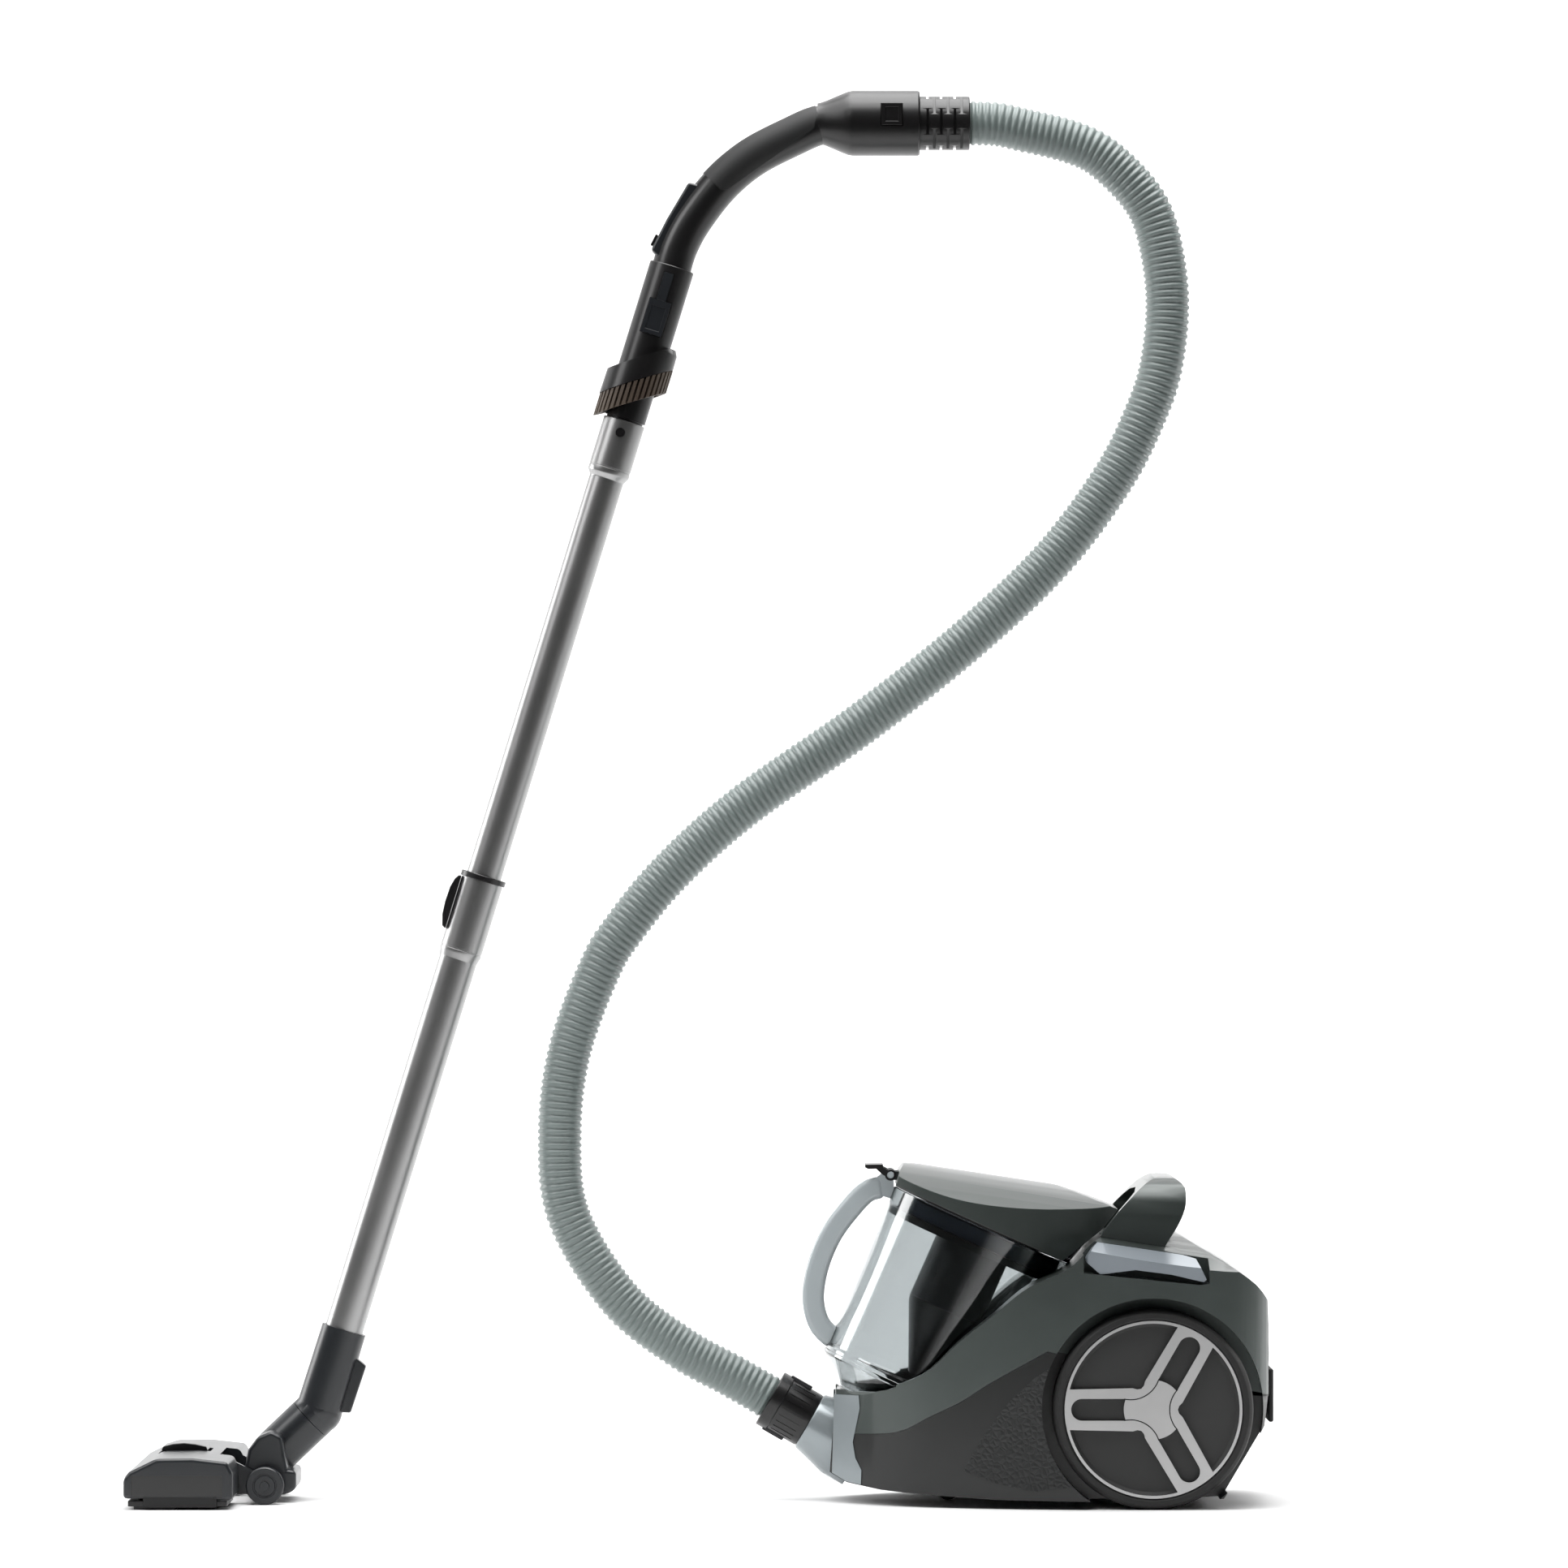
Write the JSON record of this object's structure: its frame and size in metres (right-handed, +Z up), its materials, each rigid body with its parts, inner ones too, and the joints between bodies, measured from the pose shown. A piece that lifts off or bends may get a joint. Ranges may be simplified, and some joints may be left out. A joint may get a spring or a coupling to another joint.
{
  "type": "canister vacuum cleaner",
  "caption": "Bagless canister vacuum cleaner with clear dust bin, corrugated hose, curved handle, telescopic wand and floor head, parked upright.",
  "frame": {"origin": "centre of the footprint on the floor, below the middle of the canister and wand", "axes": "+X towards the canister's rear, -X towards the floor head, +Z up from the floor, Y across; the canister's left side is -Y"},
  "size_m": [1.034, 0.284, 1.2846],
  "materials": {
    "black": "satin black",
    "board": "lacquered",
    "bristle": "nylon bristle",
    "clear": "clear polycarbonate",
    "dark": "dark grey",
    "filter": "pleated",
    "foam": "foam",
    "grey": "satin silver grey",
    "hose": "ribbed",
    "light": "pale grey",
    "rubber": "matt",
    "silver": "silver",
    "steel": "polished",
    "tyre": "soft tread"
  },
  "bodies": {
    "canister": {"base_tub": "black", "upper_shell": "grey", "inlet_duct": "light", "carry_handle": "dark", "rear_bumper": "rubber", "exhaust_grille": "black", "exhaust_filter": "filter", "motor_casing": "dark", "reel_spindle": "steel", "cord_outlet": "black", "circuit_board": "board"},
    "fan": {"impeller": "steel"},
    "reel": {"cord_reel": "black"},
    "left_wheel": {"tyre_left": "tyre", "wheel_hub_left": "dark", "wheel_trim_left": "silver"},
    "right_wheel": {"tyre_right": "tyre", "wheel_hub_right": "dark", "wheel_trim_right": "silver"},
    "caster": {"caster_fork": "black"},
    "caster_roller": {"caster_wheel": "rubber"},
    "power_button": {"power_pedal": "light"},
    "rewind_button": {"rewind_pedal": "light"},
    "dust_bin": {"bin_cup": "clear", "bin_base": "clear", "bin_handle": "light", "separator_plate": "dark", "mesh_screen": "steel", "cyclone_cone": "black", "foam_filter": "foam"},
    "lid": {"bin_lid": "dark"},
    "release": {"bin_release_lever": "black"},
    "cuff": {"hose_cuff": "dark"},
    "clip_top": {"cuff_clip_top": "black"},
    "clip_bottom": {"cuff_clip_bottom": "black"},
    "hose_end": {"hose": "hose", "hose_sleeve": "black"},
    "handle": {"handle_barrel": "black", "handle_bend": "black", "handle_sleeve": "black", "grip_pad": "rubber", "control_pod": "black"},
    "slider": {"suction_slider": "grey"},
    "hose_button": {"hose_release_button": "dark"},
    "brush_button": {"brush_lock_button": "dark"},
    "dust_brush": {"brush_collar": "dark", "brush_bristles": "bristle"},
    "wand_upper": {"upper_tube": "steel"},
    "tube_button": {"wand_button": "steel"},
    "wand_lower": {"lower_tube": "steel", "tube_collar_ring": "black"},
    "catch": {"collar_catch": "black"},
    "elbow": {"elbow": "dark"},
    "neck": {"neck_yoke": "dark"},
    "neck_wheel_left": {"head_wheel_left": "rubber"},
    "neck_wheel_right": {"head_wheel_right": "rubber"},
    "head": {"head_housing": "grey", "head_sole": "grey"},
    "rocker": {"head_pedal": "dark"},
    "floor_brush": {"brush_frame": "bristle"}
  },
  "joints": [
    {"name": "wheel_left_spin", "type": "hinge", "parent": "canister", "child": "left_wheel", "pos_m": [0.4067, -0.119, 0.09], "axis": [0, 1, 0], "continuous": true},
    {"name": "wheel_right_spin", "type": "hinge", "parent": "canister", "child": "right_wheel", "pos_m": [0.4067, 0.119, 0.09], "axis": [0, 1, 0], "continuous": true},
    {"name": "caster_swivel", "type": "hinge", "parent": "canister", "child": "caster", "pos_m": [0.205, 0, 0.02], "axis": [0, 0, 1], "continuous": true},
    {"name": "caster_roll", "type": "hinge", "parent": "caster", "child": "caster_roller", "pos_m": [0.225, 0, 0.01], "axis": [0, 1, 0], "continuous": true},
    {"name": "fan_spin", "type": "hinge", "parent": "canister", "child": "fan", "pos_m": [0.352, 0, 0.076], "axis": [0, 1, 0], "continuous": true},
    {"name": "reel_spin", "type": "hinge", "parent": "canister", "child": "reel", "pos_m": [0.44, -0.05, 0.088], "axis": [0, 1, 0], "continuous": true},
    {"name": "power_press", "type": "hinge", "parent": "canister", "child": "power_button", "pos_m": [0.45, -0.12, 0.208], "axis": [0, -1, 0], "range_deg": [0, 5], "stiffness_Nm_per_rad": 4},
    {"name": "rewind_press", "type": "hinge", "parent": "canister", "child": "rewind_button", "pos_m": [0.45, 0.12, 0.208], "axis": [0, -1, 0], "range_deg": [0, 5], "stiffness_Nm_per_rad": 4},
    {"name": "bin_lift", "type": "slide", "parent": "canister", "child": "dust_bin", "axis": [-0.45, 0, 0.893], "range_m": [0, 0.2]},
    {"name": "lid_open", "type": "hinge", "parent": "dust_bin", "child": "lid", "pos_m": [0.1724, 0, 0.2967], "axis": [0, -1, 0], "range_deg": [0, 60]},
    {"name": "release_press", "type": "hinge", "parent": "dust_bin", "child": "release", "pos_m": [0.1724, 0, 0.2967], "axis": [0, -1, 0], "range_deg": [0, 6], "stiffness_Nm_per_rad": 0.5},
    {"name": "cuff_swivel", "type": "hinge", "parent": "canister", "child": "cuff", "pos_m": [0.0984, 0, 0.0723], "axis": [-0.8671, 0, 0.4981], "continuous": true},
    {"name": "clip_top_press", "type": "slide", "parent": "cuff", "child": "clip_top", "axis": [-0.4981, 0, -0.8671], "range_m": [0, 0.0018], "stiffness_N_per_m": 800},
    {"name": "clip_bottom_press", "type": "slide", "parent": "cuff", "child": "clip_bottom", "axis": [0.4981, 0, 0.8671], "range_m": [0, 0.0018], "stiffness_N_per_m": 800},
    {"name": "wand_swing", "type": "hinge", "parent": "canister", "child": "hose_end", "pos_m": [0.0629, 0, 0.0927], "axis": [0, 0, 1], "range_deg": [-35, 35], "deforming": ["hose"]},
    {"name": "handle_swivel", "type": "hinge", "parent": "hose_end", "child": "handle", "pos_m": [0.199, 0, 1.255], "axis": [1, 0, 0], "range_deg": [-60, 60]},
    {"name": "suction_slide", "type": "slide", "parent": "handle", "child": "slider", "axis": [0.4536, 0, 0.8912], "range_m": [0, 0.012]},
    {"name": "hose_release_press", "type": "slide", "parent": "handle", "child": "hose_button", "axis": [0, 1, 0], "range_m": [0, 0.002], "stiffness_N_per_m": 800},
    {"name": "brush_lock_press", "type": "slide", "parent": "handle", "child": "brush_button", "axis": [0, 1, 0], "range_m": [0, 0.0018], "stiffness_N_per_m": 800},
    {"name": "brush_slide", "type": "slide", "parent": "handle", "child": "dust_brush", "axis": [-0.295, 0, -0.9555], "range_m": [0, 0.02]},
    {"name": "wand_pull", "type": "slide", "parent": "handle", "child": "wand_upper", "axis": [-0.295, 0, -0.9555], "range_m": [0, 0.08]},
    {"name": "wand_button_press", "type": "slide", "parent": "wand_upper", "child": "tube_button", "axis": [0, 1, 0], "range_m": [0, 0.0015], "stiffness_N_per_m": 800},
    {"name": "telescope", "type": "slide", "parent": "wand_upper", "child": "wand_lower", "axis": [0.295, 0, 0.9555], "range_m": [0, 0.33]},
    {"name": "catch_slide", "type": "slide", "parent": "wand_lower", "child": "catch", "axis": [-0.295, 0, -0.9555], "range_m": [0, 0.008], "stiffness_N_per_m": 500},
    {"name": "head_pull", "type": "slide", "parent": "wand_lower", "child": "elbow", "axis": [-0.295, 0, -0.9555], "range_m": [0, 0.04]},
    {"name": "neck_twist", "type": "hinge", "parent": "elbow", "child": "neck", "pos_m": [-0.3567, 0, 0.0736], "axis": [0.7258, 0, 0.6879], "range_deg": [-90, 90]},
    {"name": "neck_pitch", "type": "hinge", "parent": "neck", "child": "head", "pos_m": [-0.394, 0, 0.017], "axis": [0, 1, 0], "range_deg": [-45, 35]},
    {"name": "neck_wheel_left_spin", "type": "hinge", "parent": "neck", "child": "neck_wheel_left", "pos_m": [-0.394, -0.0645, 0.017], "axis": [0, 1, 0], "continuous": true},
    {"name": "neck_wheel_right_spin", "type": "hinge", "parent": "neck", "child": "neck_wheel_right", "pos_m": [-0.394, 0.0645, 0.017], "axis": [0, 1, 0], "continuous": true},
    {"name": "rocker_press", "type": "hinge", "parent": "head", "child": "rocker", "pos_m": [-0.47, 0, 0.042], "axis": [0, 1, 0], "range_deg": [0, 9]},
    {"name": "brush_retract", "type": "slide", "parent": "head", "child": "floor_brush", "axis": [0, 0, 1], "range_m": [0, 0.006]}
  ],
  "couplings": [
    {"joint": "rocker_press", "follows": "brush_retract", "rad_per_m": 26.18}
  ]
}
